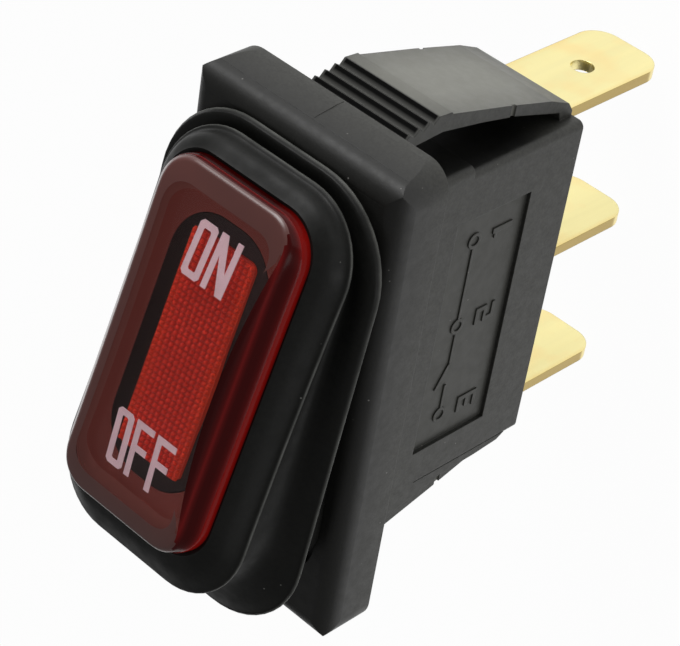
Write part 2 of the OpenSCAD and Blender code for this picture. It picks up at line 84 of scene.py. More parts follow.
def rocker_point(x, v, w):
    """Point of the part's frame, in metres, of a place in the rocker's upright frame, in mm."""
    y = v * math.cos(TILT) + w * math.sin(TILT)
    z = PIVOT_Z - v * math.sin(TILT) + w * math.cos(TILT)
    return Vector((x, y, z)) * MM


def tilted_point(x, v, tilt, y0, z0):
    """Point of the part's frame, in metres, on a plane tilted about X through (y0, z0), in mm."""
    return Vector((x, y0 + v * math.cos(tilt), z0 - v * math.sin(tilt))) * MM


def upright_place(v, w):
    """Matrix that stands a piece in the rocker's upright frame, v along it and w up, in metres."""
    return (Matrix.Translation((0, 0, PIVOT_Z * MM)) @ Matrix.Rotation(-TILT, 4, "X")
            @ Matrix.Translation((0, v, w)))


def toned(colour, share):
    """The colour made deeper (share below 1) or paler (above 1)."""
    return tuple(c * share for c in colour)


def feed(tree, value, socket):
    """Links a socket to a node's input, or sets the input to a plain value."""
    if hasattr(value, "is_linked"):
        tree.links.new(value, socket)
    else:
        socket.default_value = value


def math_node(tree, operation, *values):
    """Result socket of one sum in a node tree; the values are sockets or numbers."""
    node = tree.nodes.new("ShaderNodeMath")
    node.operation = operation
    for value, socket in zip(values, node.inputs):
        feed(tree, value, socket)
    return node.outputs[0]


# ------------------------------------------------------------------ finishes


class Finish:
    """A procedural material being built around one Principled shader."""

    def __init__(self, name, colour, roughness, metallic=0.0, **sockets):
        self.material = bpy.data.materials.new(name)
        self.material.use_nodes = True
        self.tree = self.material.node_tree
        self.nodes = self.tree.nodes
        self.links = self.tree.links
        self.shader = self.nodes["Principled BSDF"]
        self.shader.inputs["Base Color"].default_value = (*colour, 1)
        self.shader.inputs["Roughness"].default_value = roughness
        self.shader.inputs["Metallic"].default_value = metallic
        for socket, value in sockets.items():
            self.shader.inputs[socket.replace("_", " ")].default_value = value
        self.material.diffuse_color = (*colour, 1)
        self.place = self.nodes.new("ShaderNodeTexCoord")
        self.normal = None

    def noise(self, scale, detail=2.0, roughness=0.5, stretch=None):
        coord = self.place.outputs["Object"]
        if stretch:
            mapping = self.nodes.new("ShaderNodeMapping")
            mapping.inputs["Scale"].default_value = stretch
            self.links.new(coord, mapping.inputs["Vector"])
            coord = mapping.outputs["Vector"]
        node = self.nodes.new("ShaderNodeTexNoise")
        node.inputs["Scale"].default_value = scale
        node.inputs["Detail"].default_value = detail
        node.inputs["Roughness"].default_value = roughness
        self.links.new(coord, node.inputs["Vector"])
        return node.outputs["Fac"]

    def ramp(self, value, stops):
        node = self.nodes.new("ShaderNodeValToRGB")
        ramp = node.color_ramp
        while len(ramp.elements) < len(stops):
            ramp.elements.new(0.5)
        for element, (at, colour) in zip(ramp.elements, stops):
            element.position = at
            element.color = (*colour, 1) if len(colour) == 3 else colour
        self.links.new(value, node.inputs["Fac"])
        return node.outputs["Color"]

    def spread(self, value, low, high, to_low, to_high):
        node = self.nodes.new("ShaderNodeMapRange")
        node.inputs["From Min"].default_value = low
        node.inputs["From Max"].default_value = high
        node.inputs["To Min"].default_value = to_low
        node.inputs["To Max"].default_value = to_high
        self.links.new(value, node.inputs["Value"])
        return node.outputs["Result"]

    def blend_colours(self, fac, first, second):
        node = self.nodes.new("ShaderNodeMix")
        node.data_type = "RGBA"
        self.links.new(fac, node.inputs["Factor"])
        for value, socket in ((first, node.inputs[6]), (second, node.inputs[7])):
            feed(self.tree, value if hasattr(value, "is_linked") else (*value, 1), socket)
        return node.outputs[2]

    def colour(self, value):
        self.links.new(value, self.shader.inputs["Base Color"])

    def rough(self, value):
        self.links.new(value, self.shader.inputs["Roughness"])

    def soften(self, radius):
        """Rounds the look of moulded or stamped edges by that radius, in mm."""
        node = self.nodes.new("ShaderNodeBevel")
        node.samples = 6
        node.inputs["Radius"].default_value = radius * MM
        self.normal = node.outputs["Normal"]
        self.links.new(self.normal, self.shader.inputs["Normal"])

    def bump(self, value, strength, height):
        node = self.nodes.new("ShaderNodeBump")
        node.inputs["Strength"].default_value = strength
        node.inputs["Distance"].default_value = height * MM
        self.links.new(value, node.inputs["Height"])
        if self.normal:
            self.links.new(self.normal, node.inputs["Normal"])
        self.normal = node.outputs["Normal"]
        self.links.new(self.normal, self.shader.inputs["Normal"])

    def crests(self, under, colour):
        """Paler rubber on the ring crests, a painted highlight, by the piece's own UV: 1 at a crest, 0
        away from it.
        """
        split = self.nodes.new("ShaderNodeSeparateXYZ")
        self.links.new(self.place.outputs["UV"], split.inputs[0])
        patchy = self.spread(self.noise(500, 2.0), 0.35, 0.65, 0.45, 1.0)
        return self.blend_colours(self.all_of(split.outputs["Y"], patchy), under, colour)

    def along(self, axis):
        """Distance from the middle along one axis of the part's frame, in mm; Z keeps its sign."""
        split = self.nodes.new("ShaderNodeSeparateXYZ")
        self.links.new(self.place.outputs["Object"], split.inputs[0])
        scaled = math_node(self.tree, "MULTIPLY", split.outputs[axis], 1 / MM)
        return scaled if axis == "Z" else math_node(self.tree, "ABSOLUTE", scaled)

    def all_of(self, *shares):
        """Product of several shares."""
        total = shares[0]
        for share in shares[1:]:
            total = math_node(self.tree, "MULTIPLY", total, share)
        return total

    def repeat(self, value, start, pitch):
        """Share of the way through each pitch, counted from start."""
        fold = math_node(self.tree, "WRAP", value, start, start + pitch)
        return self.spread(fold, start, start + pitch, 0.0, 1.0)

    def upright(self, axis):
        """Place along one axis of the rocker's upright frame, in mm, as a socket."""
        turn = self.nodes.new("ShaderNodeMapping")
        turn.inputs["Rotation"].default_value = (TILT, 0, 0)
        turn.inputs["Scale"].default_value = (1 / MM, 1 / MM, 1 / MM)
        shift = self.nodes.new("ShaderNodeMapping")
        shift.inputs["Location"].default_value = (0, 0, -PIVOT_Z * MM)
        self.links.new(self.place.outputs["Object"], shift.inputs["Vector"])
        self.links.new(shift.outputs["Vector"], turn.inputs["Vector"])
        split = self.nodes.new("ShaderNodeSeparateXYZ")
        self.links.new(turn.outputs["Vector"], split.inputs[0])
        return split.outputs[axis]

    def specks(self, under, spacing, size, colour):
        """Sparse dust specks over the colour given by the socket under."""
        cells = self.nodes.new("ShaderNodeTexVoronoi")
        cells.inputs["Scale"].default_value = 1 / (spacing * MM)
        self.links.new(self.place.outputs["Object"], cells.inputs["Vector"])
        mask = self.ramp(cells.outputs["Distance"], [(0.0, (1, 1, 1)), (size, (0, 0, 0))])
        gate = self.ramp(self.noise(260, 1.0), [(0.52, (0, 0, 0)), (0.6, (1, 1, 1))])
        return self.blend_colours(self.all_of(mask, gate), under, colour)


def grained_nylon(colour):
    """Black moulded nylon; each zone's share is 1 inside it, with its limits in mm."""
    f = Finish("grained_nylon", colour, 0.5, Specular_IOR_Level=0.42)
    dark = toned(colour, 0.8)
    light = toned(colour, 1.2)
    grain = f.ramp(f.noise(5200, 2.0), [(0.35, dark), (0.65, light)])
    # tones set to the light: the bezel front deeper as painted shade, the wings' outer skin paler as
    # painted light
    x, y, z = f.along("X"), f.along("Y"), f.along("Z")
    front = f.spread(z, 0.2, 3.2, 0.0, 0.88)
    grain = f.blend_colours(front, grain, toned(colour, 0.16))
    blade = f.all_of(f.spread(x, 4.09, 4.12, 1, 0), f.spread(y, 13.9, 14.0, 0, 1),
                     f.spread(z, -4.4, -4.2, 1, 0), f.spread(x, 1.5, 4.1, 1, 0.6),
                     f.spread(z, -7.0, -4.3, 1, 0.7), f.spread(z, -17.5, -14, 0.5, 1))
    grain = f.blend_colours(blade, grain, toned(colour, 5.7))
    # the teeth a little paler: painted light
    teeth = f.all_of(f.spread(y, 15.5, 15.6, 0, 1), f.spread(z, -4.4, -4.2, 0, 1),
                     f.spread(z, -0.6, -0.4, 1, 0))
    grain = f.blend_colours(teeth, grain, toned(colour, 1.1))
    # the shade under each tooth's crest is put into the colour, as the teeth cast none
    groove = f.all_of(teeth, f.spread(f.repeat(z, TOOTH_TIP_Z, TOOTH_PITCH), 0.2, 0.42, 1, 0),
                      f.spread(x, 3.95, 4.05, 1, 0))
    grain = f.blend_colours(groove, grain, toned(colour, 0.03))
    # the specular tint is lowered in the same place: painted shade
    groove_shade_tint = f.blend_colours(groove, (1, 1, 1), (0.06, 0.06, 0.06))
    f.links.new(groove_shade_tint, f.shader.inputs["Specular Tint"])
    label = f.all_of(f.spread(x, 4.9, 4.93, 0, 1), f.spread(x, 5.1, 5.2, 1, 0),
                     f.spread(y, 9.5, 9.6, 1, 0), f.spread(z, -13.9, -13.8, 0, 1))
    grain = f.blend_colours(label, grain, toned(colour, 1.3))
    # darker on the body's end faces under both wings: painted shade
    under_wing_shade = f.all_of(f.spread(x, 4.6, 5.1, 1, 0), f.spread(y, 13.6, 13.7, 1, 0),
                      f.spread(y, 12.9, 13.0, 0, 1), f.spread(z, -16, -13, 0, 1))
    grain = f.blend_colours(under_wing_shade, grain, toned(colour, 0.12))
    f.colour(f.specks(grain, 1.1, 0.07, (0.35, 0.34, 0.32)))
    f.rough(f.spread(f.noise(1500, 3.0), 0.3, 0.7, 0.44, 0.54))
    f.soften(0.09)
    f.bump(f.noise(6000, 3.0, 0.6), 0.3, 0.02)
    return f.material


def bellows_rubber(colour):
    f = Finish("bellows_rubber", colour, 0.5, Specular_IOR_Level=0.2)
    dark = toned(colour, 0.85)
    light = toned(colour, 1.15)
    grain = f.ramp(f.noise(2600, 3.0), [(0.3, dark), (0.7, light)])
    # the paler colour on the ring crests is a painted highlight
    f.colour(f.specks(f.crests(grain, (0.13, 0.132, 0.122)), 1.3, 0.055, (0.3, 0.3, 0.28)))
    f.rough(f.spread(f.noise(900, 3.0), 0.3, 0.7, 0.42, 0.56))
    f.bump(f.noise(5200, 3.0, 0.6), 0.25, 0.018)
    return f.material


def inner_plastic():
    f = Finish("inner_plastic", (0.012, 0.012, 0.011), 0.45)
    f.colour(f.ramp(f.noise(500), [(0.3, (0.010, 0.010, 0.009)), (0.7, (0.016, 0.016, 0.014))]))
    f.bump(f.noise(6000), 0.2, 0.01)
    return f.material


def stamped_brass(colour):
    """Bright stamped brass: drawn grain, warm tints, a few pits and sheared edges darkened as painted
    shade.
    """
    f = Finish("stamped_brass", colour, 0.34, metallic=1.0)
    wear_and_highlight = toned(colour, 0.95)
    grain = f.ramp(f.noise(900, 3.0, stretch=(1, 1, 0.06)), [(0.35, wear_and_highlight), (0.65, colour)])
    warm = f.spread(f.noise(330, 2.0), 0.48, 0.68, 0.0, 0.55)
    grain = f.blend_colours(warm, grain, (colour[0], colour[1] * 0.86, colour[2] * 0.78))
    rim = f.spread(f.along("X"), 2.75, 3.12, 0.0, 0.5)
    grain = f.blend_colours(rim, grain, (colour[0] * 0.94, colour[1] * 0.8, colour[2] * 0.6))
    # the sheared edge faces darker: painted shade
    sheared = f.spread(f.along("X"), 3.12, 3.145, 0.0, 0.85)
    grain = f.blend_colours(sheared, grain, (0.42, 0.30, 0.10))
    f.colour(f.specks(grain, 1.1, 0.09, (0.5, 0.36, 0.12)))
    f.rough(f.spread(f.noise(1400, 3.0, stretch=(1, 1, 0.1)), 0.3, 0.7, 0.3, 0.4))
    f.soften(0.12)
    f.bump(f.noise(1800, 3.0, stretch=(1, 1, 0.08)), 0.12, 0.008)
    return f.material


def plain_metal(name, colour, roughness):
    f = Finish(name, colour, roughness, metallic=1.0)
    f.rough(f.spread(f.noise(1500, 3.0), 0.3, 0.7, roughness * 0.8, roughness * 1.25))
    f.bump(f.noise(3000), 0.08, 0.008)
    return f.material


def lamp_clear_glass():
    f = Finish("lamp_clear_glass", (0.95, 0.9, 0.85), 0.03, Transmission_Weight=0.95, IOR=1.3)
    f.rough(f.spread(f.noise(700), 0.3, 0.7, 0.02, 0.06))
    return f.material


def coated_ceramic():
    f = Finish("coated_ceramic", (0.62, 0.45, 0.28), 0.4)
    f.colour(f.ramp(f.noise(900, 3.0), [(0.35, (0.5, 0.36, 0.22)), (0.65, (0.66, 0.5, 0.32))]))
    return f.material


def lens_clear_red(colour):
    """Clear red cap: light passes with a red tint and the skin shines."""
    f = Finish("lens_clear_red", colour, 0.02, Transmission_Weight=1.0, IOR=1.06,
               Coat_Weight=0.45, Coat_Roughness=0.14, Coat_IOR=1.4)
    f.colour(f.ramp(f.noise(200), [(0.3, toned(colour, 0.97)), (0.7, colour)]))
    return f.material


def lens_edge_red(colour):
    """The cap's rounded shoulder, where the red is too deep to see through."""
    f = Finish("lens_edge_red", colour, 0.36, Coat_Weight=0.6, Coat_Roughness=0.32, Coat_IOR=1.5)
    deep = toned(colour, 0.8)
    f.colour(f.ramp(f.noise(240, 2.0), [(0.3, deep), (0.7, colour)]))
    return f.material


def lens_wall_red(colour):
    """The cap's side wall: deep red, not see-through, with lines of painted light and painted shade up
    it.
    """
    f = Finish("lens_wall_red", colour, 0.2, Specular_IOR_Level=0.1, Coat_Weight=0.1,
               Coat_Roughness=0.15, Coat_IOR=1.5)
    height = f.spread(f.upright("Z"), 10.7, 12.7, 0.0, 1.0)
    # painted light and shade, from the lip up to the shoulder
    glow = ((0.05, 3.6), (0.12, 2.4), (0.2, 1.2), (0.3, 0.8), (0.44, 0.8), (0.52, 1.4),
            (0.59, 2.6), (0.66, 1.3), (0.76, 0.7), (0.92, 0.45))
    f.colour(f.ramp(height, [(at, toned(colour, much)) for at, much in glow]))
    return f.material


def lens_rim_red(colour):
    """The cap's lower lip, with the light it carries round its edge painted in as a glow, bright
    towards +X and dark towards -X.
    """
    f = Finish("lens_rim_red", colour, 0.3, Specular_IOR_Level=0.05, Emission_Strength=0.35)
    dark = toned(colour, 0.12)
    side = f.spread(f.upright("X"), 2.5, 6.0, 0.0, 1.0)
    glow = f.ramp(side, [(0.0, dark), (0.5, toned(colour, 0.5)), (0.85, colour)])
    f.colour(glow)
    f.links.new(glow, f.shader.inputs["Emission Color"])
    f.rough(f.spread(f.noise(800), 0.3, 0.7, 0.1, 0.2))
    return f.material


def lit_inside(name, colour):
    """Red plastic inside the cap, where some of the light that enters it is painted in as a glow."""
    f = Finish(name, colour, 0.5, Specular_IOR_Level=0.2, Emission_Color=(*colour, 1),
               Emission_Strength=0.42)
    dark = toned(colour, 0.85)
    f.colour(f.ramp(f.noise(240, 2.0), [(0.3, dark), (0.7, colour)]))
    return f.material


def prism_red(colour):
    """Prismatic red: pale at the prism tips as a painted highlight, deep between them as painted shade,
    warmer along both sides, with a glow of painted light.
    """
    f = Finish("prism_red", colour, 0.34, Emission_Strength=0.2, Coat_Weight=0.25, Coat_Roughness=0.2)
    height = f.spread(f.upright("Z"), 10.35, 10.58, 0.0, 1.0)
    deep = toned(colour, 0.74)
    tip = (min(1, colour[0] * 1.15), colour[1] * 1.35, colour[2] * 1.4)
    base = f.ramp(height, [(0.05, deep), (0.45, colour), (0.8, tip)])
    warm = (min(1, colour[0] * 1.25), colour[1] * 1.8, colour[2] * 0.8)
    patchy = f.spread(f.noise(300), 0.3, 0.7, 0.6, 1.0)
    side = f.all_of(f.spread(f.along("X"), 1.7, 2.7, 0.0, 0.6), patchy)
    final = f.blend_colours(side, base, warm)
    f.colour(final)
    f.links.new(final, f.shader.inputs["Emission Color"])
    return f.material


def mask_black():
    f = Finish("mask_black", (0.02, 0.018, 0.016), 0.5)
    f.colour(f.ramp(f.noise(500), [(0.3, (0.018, 0.016, 0.015)), (0.7, (0.026, 0.023, 0.021))]))
    return f.material


def letter_white(colour):
    # the letters glow a little: painted light
    f = Finish("letter_white", colour, 0.35, Emission_Color=(*colour, 1), Emission_Strength=0.3)
    f.colour(f.ramp(f.noise(900), [(0.3, toned(colour, 0.93)), (0.7, colour)]))
    return f.material


# ------------------------------------------------------------------ mesh helpers


def add_piece(name, data):
    """Puts a mesh, a lamp or a camera into the scene under that name."""
    piece = bpy.data.objects.new(name, data)
    bpy.context.scene.collection.objects.link(piece)
    return piece


def solid(name, verts, faces, material, sharp=40.0):
    """A closed mesh piece with outward normals and smooth shading below the sharp angle."""
    mesh = bpy.data.meshes.new(name)
    mesh.from_pydata([tuple(v) for v in verts], [], faces)
    work = bmesh.new()
    work.from_mesh(mesh)
    bmesh.ops.recalc_face_normals(work, faces=work.faces)
    work.to_mesh(mesh)
    work.free()
    mesh.shade_smooth()
    mesh.set_sharp_from_angle(angle=math.radians(sharp))
    mesh.materials.append(material)
    return add_piece(name, mesh)


def strip_faces(first, second, count):
    """Quads between two rings of points that start at these indices."""
    return [(first + i, first + (i + 1) % count, second + (i + 1) % count, second + i)
            for i in range(count)]


def rounded_outline(hx, hy, r, long_steps=22, short_steps=10, corner_steps=12):
    """Points (x, y, nx, ny) round a rounded rectangle, each with its outward direction."""
    points = []
    corners = ((hx - r, hy - r, 0.0), (-hx + r, hy - r, 90.0),
               (-hx + r, -hy + r, 180.0), (hx - r, -hy + r, 270.0))
    sides = (short_steps, long_steps, short_steps, long_steps)
    for i, (cx, cy, start) in enumerate(corners):
        for k in range(corner_steps + 1):
            a = math.radians(start + 90.0 * k / corner_steps)
            points.append((cx + r * math.cos(a), cy + r * math.sin(a), math.cos(a), math.sin(a)))
        nx, ny, _ = corners[(i + 1) % 4]
        end = (points[-1][0], points[-1][1])
        a = math.radians(start + 90.0)
        follow = (nx + r * math.cos(a), ny + r * math.sin(a))
        for k in range(1, sides[i]):
            t = k / sides[i]
            points.append((end[0] + t * (follow[0] - end[0]), end[1] + t * (follow[1] - end[1]),
                           math.cos(a), math.sin(a)))
    return points


def catmull(p0, p1, p2, p3, t):
    """Value at share t of the way from p1 to p2 on a smooth run through all four."""
    return 0.5 * (2 * p1 + (p2 - p0) * t + (2 * p0 - 5 * p1 + 4 * p2 - p3) * t * t
                  + (3 * p1 - p0 - 3 * p2 + p3) * t ** 3)


def smooth_levels(levels, steps):
    """Levels are equal-length number lists; the result runs smoothly through them."""
    out = []
    last = len(levels) - 1
    for i in range(last):
        rows = [levels[max(i - 1, 0)], levels[i], levels[i + 1], levels[min(i + 2, last)]]
        for k in range(steps):
            t = k / steps
            out.append([catmull(a, b, c, d, t) for a, b, c, d in zip(*rows)])
    out.append(list(levels[-1]))
    return out


def growing_tree(name, inputs):
    """A geometry tree with named number inputs; gives the tree and the sockets that bring them."""
    tree = bpy.data.node_groups.new(name, "GeometryNodeTree")
    for label, default in inputs:
        item = tree.interface.new_socket(name=label, in_out="INPUT", socket_type="NodeSocketFloat")
        item.default_value = default
    tree.interface.new_socket(name="Geometry", in_out="OUTPUT", socket_type="NodeSocketGeometry")
    return tree, tree.nodes.new("NodeGroupInput").outputs


def dress(tree, geometry, material):
    """Ends a geometry tree: copies made real, their material, and the way out."""
    real = tree.nodes.new("GeometryNodeRealizeInstances")
    finish = tree.nodes.new("GeometryNodeSetMaterial")
    leave = tree.nodes.new("NodeGroupOutput")
    finish.inputs["Material"].default_value = material
    tree.links.new(geometry, real.inputs["Geometry"])
    tree.links.new(real.outputs["Geometry"], finish.inputs["Geometry"])
    tree.links.new(finish.outputs["Geometry"], leave.inputs["Geometry"])


def grown(name, tree, values):
    """The mesh that a geometry tree grows from these named values."""
    holder = add_piece(name + "_holder", bpy.data.meshes.new(name + "_holder"))
    modifier = holder.modifiers.new("grow", "NODES")
    modifier.node_group = tree
    for item in tree.interface.items_tree:
        if item.in_out == "INPUT" and item.name in values:
            modifier[item.identifier] = values[item.name]
    done = holder.evaluated_get(bpy.context.evaluated_depsgraph_get())
    mesh = bpy.data.meshes.new_from_object(done)
    holder.modifiers.remove(modifier)
    bpy.data.objects.remove(holder)
    mesh.name = name
    return mesh


# ------------------------------------------------------------------ settings


def metres(default, name, description):
    return FloatProperty(name=name, description=description, default=default * MM,
                         unit="LENGTH", precision=5)


def paint(default, name, description):
    return FloatVectorProperty(name=name, description=description, default=default,
                               subtype="COLOR", size=3, min=0, max=1)


class SwitchFinishSettings(bpy.types.PropertyGroup):
    """Colours of the moulded and stamped pieces."""

    nylon: paint((0.040, 0.040, 0.035), "Housing colour", "Colour of the grained housing")
    rubber: paint((0.0085, 0.0087, 0.0078), "Boot colour", "Colour of the bellows boot")
    brass: paint((1.0, 0.9, 0.45), "Tab colour", "Colour of the stamped tabs")


class SwitchBootSettings(bpy.types.PropertyGroup):
    """Sizes of the bellows boot."""

    ring1_half_width: metres(9.5, "Lower ring half width", "Half width of the lower ring")
    ring1_half_length: metres(16.4, "Lower ring half length", "Half length of the lower ring")
    ring1_shift: metres(0.55, "Lower ring shift", "Shift of the lower ring towards the ON end")
    ring2_half_width: metres(8.3, "Upper ring half width", "Half width of the upper ring")
    ring2_half_length: metres(14.4, "Upper ring half length", "Half length of the upper ring")
    ring2_shift: metres(-0.2, "Upper ring shift", "Shift of the upper ring towards the ON end")
    waist: metres(0.25, "Waist", "How far the upper ring draws in at mid length")
    rubber: metres(0.9, "Rubber thickness", "Thickness of the boot's wall")


class SwitchLensSettings(bpy.types.PropertyGroup):
    """Sizes and colours of the crowned lens and what shows through it."""

    half_width: metres(6.2, "Half width", "Half width of the lens at its base")
    half_length: metres(12.0, "Half length", "Half length of the lens")
    shift: metres(0.6, "Shift", "Shift of the lens towards the ON end")
    base_height: metres(10.1, "Base height", "Height of the lens base above the rocker axis")
    lip: metres(0.8, "Lip", "Height of the upright lip")
    crown: metres(2.5, "Crown", "Height of the lens at mid length")
    end_height: metres(1.45, "End height", "Height of the lens at its ends")
    wall: metres(1.0, "Wall", "Thickness of the lens top")
    side_wall: metres(0.6, "Side wall", "Thickness of the lens sides")
    clear: paint((0.93, 0.76, 0.75), "Top tint", "Tint of the clear top")
    side: paint((0.07, 0.0036, 0.0036), "Side colour", "Colour of the side walls")
    rim: paint((0.16, 0.004, 0.003), "Rim colour", "Colour of the lit lower lip")
    edge: paint((0.118, 0.034, 0.028), "Edge colour", "Colour of the rounded shoulder")
    inner: paint((0.130, 0.043, 0.036), "Inner wall colour", "Colour of the wall seen through the top")
    tray: paint((0.13, 0.036, 0.029), "Tray colour", "Colour of the tray round the mask")
    window: paint((0.54, 0.034, 0.018), "Window colour", "Colour of the prismatic window")


class SwitchWindowSettings(bpy.types.PropertyGroup):
    """The prismatic window."""

    half_width: metres(2.75, "Half width", "Half width of the prism field")
    half_length: metres(7.7, "Half length", "Half length of the prism field")
    pitch: metres(0.42, "Prism pitch", "Distance between neighbouring prisms")
    height: metres(0.22, "Prism height", "Height of each prism")
    sink: metres(0.4, "Sink", "How far the mask and window sit below the lens base")


class SwitchMarkSettings(bpy.types.PropertyGroup):
    """ON and OFF lettering and the plain marks on the body's side."""

    stroke: metres(0.45, "Stroke", "Stroke width of the lettering")
    ink: paint((0.70, 0.63, 0.70), "Letter colour", "Colour of the ON and OFF lettering")


class SwitchStageSettings(bpy.types.PropertyGroup):
    """Floor, lights and camera."""

    floor_gap: metres(0.4, "Floor gap", "Gap between the tab tips and the floor")
    key_power: FloatProperty(name="Key power", description="Power of the key light",
                             default=1.8, unit="POWER")
    fill_power: FloatProperty(name="Fill power", description="Power of the fill light",
                              default=0.6, unit="POWER")
    ambient: FloatProperty(name="Ambient", description="Brightness of the plain surroundings",
                           default=0.2, min=0, max=2)


# ------------------------------------------------------------------ pieces


def crown_w(lens, v):
    """Height of the lens top above the rocker axis at v along it, all in mm."""
    half = lens.half_length / MM
    rise = (lens.crown - lens.end_height) / MM
    radius = (half * half + rise * rise) / (2 * rise)
    top = (lens.base_height + lens.crown) / MM
    return top - radius + math.sqrt(radius * radius - v * v)


class SWITCH_OT_finish_frame(bpy.types.Operator):
    """Gives every carried-over piece its own finish"""

    bl_idname = "switch.finish_frame"
    bl_label = "Finish the moulded and metal pieces"

    def execute(self, context):
        s = context.scene.switch_finish
        nylon = grained_nylon(s.nylon)
        black = inner_plastic()
        brass = stamped_brass(s.brass)
        copper = plain_metal("blade_copper", (0.62, 0.33, 0.2), 0.35)
        silver = plain_metal("contact_silver", (0.85, 0.84, 0.82), 0.2)
        wire = plain_metal("tinned_wire", (0.62, 0.6, 0.57), 0.35)
        steel = plain_metal("spring_wire", (0.55, 0.55, 0.55), 0.28)
        finishes = {
            "housing": nylon, "seal_boot": bellows_rubber(s.rubber), "boot_clamp": black,
            "rocker_carrier": black, "rocker_lens": lens_clear_red(context.scene.switch_lens.clear),
            "window_mask": mask_black(), "window_diffuser": prism_red(context.scene.switch_lens.window),
            "lamp_glass": lamp_clear_glass(), "lamp_lead_a": wire, "lamp_lead_b": wire,
            "lamp_resistor": coated_ceramic(), "lamp_spring": steel, "plunger": brass,
            "plunger_spring": steel, "contact_blade": copper, "moving_contact": silver,
            "fixed_contact": silver, "terminal_lamp": brass, "terminal_common": brass,
            "terminal_line": brass,
        }
        for name, material in finishes.items():
            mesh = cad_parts[name].data
            mesh.materials.clear()
            mesh.materials.append(material)
        return {"FINISHED"}


class SWITCH_OT_bellows_boot(bpy.types.Operator):
    """Builds the rubber boot with its two rings, bending between housing and rocker"""

    bl_idname = "switch.bellows_boot"
    bl_label = "Build the bellows boot"

    def execute(self, context):
        s = context.scene.switch_boot
        lens = context.scene.switch_lens
        h1, l1 = s.ring1_half_width / MM, s.ring1_half_length / MM
        h2, l2 = s.ring2_half_width / MM, s.ring2_half_length / MM
        base = lens.base_height / MM
        away = lens.shift / MM
        neck_x, neck_y = lens.half_width / MM + 0.32, lens.half_length / MM + 0.32

        def on_rocker(w, hx, hy, r, waist, v=s.ring2_shift / MM):
            y = v * math.cos(TILT) + w * math.sin(TILT)
            z = PIVOT_Z - v * math.sin(TILT) + w * math.cos(TILT)
            return [TILT, y, z, hx, hy, r, waist, 1.0]

        z1 = BEZEL_FRONT + 2.65
        t1 = math.radians(8.2)
        t2 = math.radians(12.5)
        waist = s.waist / MM
        y1 = s.ring1_shift / MM
        # each level: tilt, y, z, half width, half length, corner, pinch, share of the rocker's turn
        outer = [
            [0.0, 0.3, BEZEL_FRONT + 0.03, h1 - 2.3, l1 - 2.0, 4.6, 0.0, 0.0],
            [t1 * 0.55, y1 - 0.12, z1 - 1.5, h1 - 1.9, l1 - 1.6, 5.0, 0.0, 0.22],
            [t1 * 0.88, y1 - 0.1, z1 - 0.5, h1 - 0.95, l1 - 0.85, 5.8, 0.0, 0.38],
            [t1, y1 - 0.02, z1 - 0.12, h1 - 0.03, l1 - 0.03, 6.3, 0.0, 0.45],
            [t1, y1 + 0.03, z1 + 0.14, h1 - 0.06, l1 - 0.06, 6.3, 0.0, 0.45],
            [t1, y1 + 0.1, z1 + 0.36, h1 - 0.42, l1 - 0.4, 6.0, 0.0, 0.47],
            [t2, 1.35, z1 + 0.95, h1 - 1.9, l1 - 2.6, 4.8, 0.1, 0.72],
            on_rocker(7.62, h2 - 0.75, l2 - 0.75, 4.6, waist),
            on_rocker(8.1, h2 - 0.2, l2 - 0.2, 5.0, waist),
            on_rocker(8.36, h2, l2, 5.1, waist),
            on_rocker(8.56, h2 - 0.06, l2 - 0.06, 5.0, waist),
            on_rocker(8.78, h2 - 0.32, l2 - 0.3, 4.8, waist),
            on_rocker(9.6, h2 - 1.05, l2 - 1.05, 3.9, waist * 0.5, away * 0.5),
            on_rocker(base + 0.1, neck_x, neck_y, 3.1, 0.0, away),
            on_rocker(base + 0.16, neck_x - 0.1, neck_y - 0.1, 3.0, 0.0, away),
            on_rocker(base + 0.1, neck_x - 0.27, neck_y - 0.27, 2.95, 0.0, away),
        ]
        t = s.rubber / MM
        inner = [
            on_rocker(base - 0.04, neck_x - 0.27, neck_y - 0.27, 2.95, 0.0, away),
            on_rocker(base - 0.05, neck_x - 0.52, neck_y - 0.52, 2.9, 0.0, away),
            on_rocker(base - 1.2, neck_x - 0.52, neck_y - 0.52, 2.9, 0.0, away),
            on_rocker(8.2, h2 - t - 0.1, l2 - t - 0.1, 4.2, waist),
            [t2, 1.35, z1 + 0.75, h1 - 1.9 - t, l1 - 2.6 - t, 4.0, 0.1, 0.72],
            [t1, y1, z1 - 0.3, h1 - t - 0.1, l1 - t - 0.1, 5.4, 0.0, 0.45],
            [0.0, 0.3, BEZEL_FRONT + 0.03, h1 - 2.3 - t, l1 - 2.0 - t, 4.0, 0.0, 0.0],
        ]
        rings = smooth_levels(outer, 4) + inner
        verts, faces, shares = [], [], []
        count = None
        for tilt, y0, z0, hx, hy, r, pinch, share in rings:
            outline = rounded_outline(hx, hy, r)
            count = len(outline)
            for x, v, _, _ in outline:
                draw = 1 - (v / hy) ** 2
                x -= math.copysign(pinch * draw, x) * min(1.0, abs(x) / hx)
                verts.append(tilted_point(x, v, tilt, y0, z0))
                shares.append(min(max(share, 0.0), 1.0))
        for k in range(len(rings)):
            faces += strip_faces(k * count, (k + 1) % len(rings) * count, count)
        boot = solid("bellows_boot", verts, faces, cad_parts["seal_boot"].data.materials[0], 60)
        # this UV marks the ring crests for their painted highlight
        wear_and_highlight = boot.data.uv_layers.new(name="crest")
        for loop in boot.data.loops:
            row = loop.vertex_index // count
            share = max(0.0, 1 - min(abs(row - 14), abs(row - 38)) / 2.2)
            wear_and_highlight.data[loop.index].uv = (loop.vertex_index % count / count, share)
        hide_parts("seal_boot")
        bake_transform(boot)
        # the foot sits on the bezel; the shares give it none of the rocker's turn, ring 1 about half of
        # it, the neck all of it
        return {"FINISHED"}


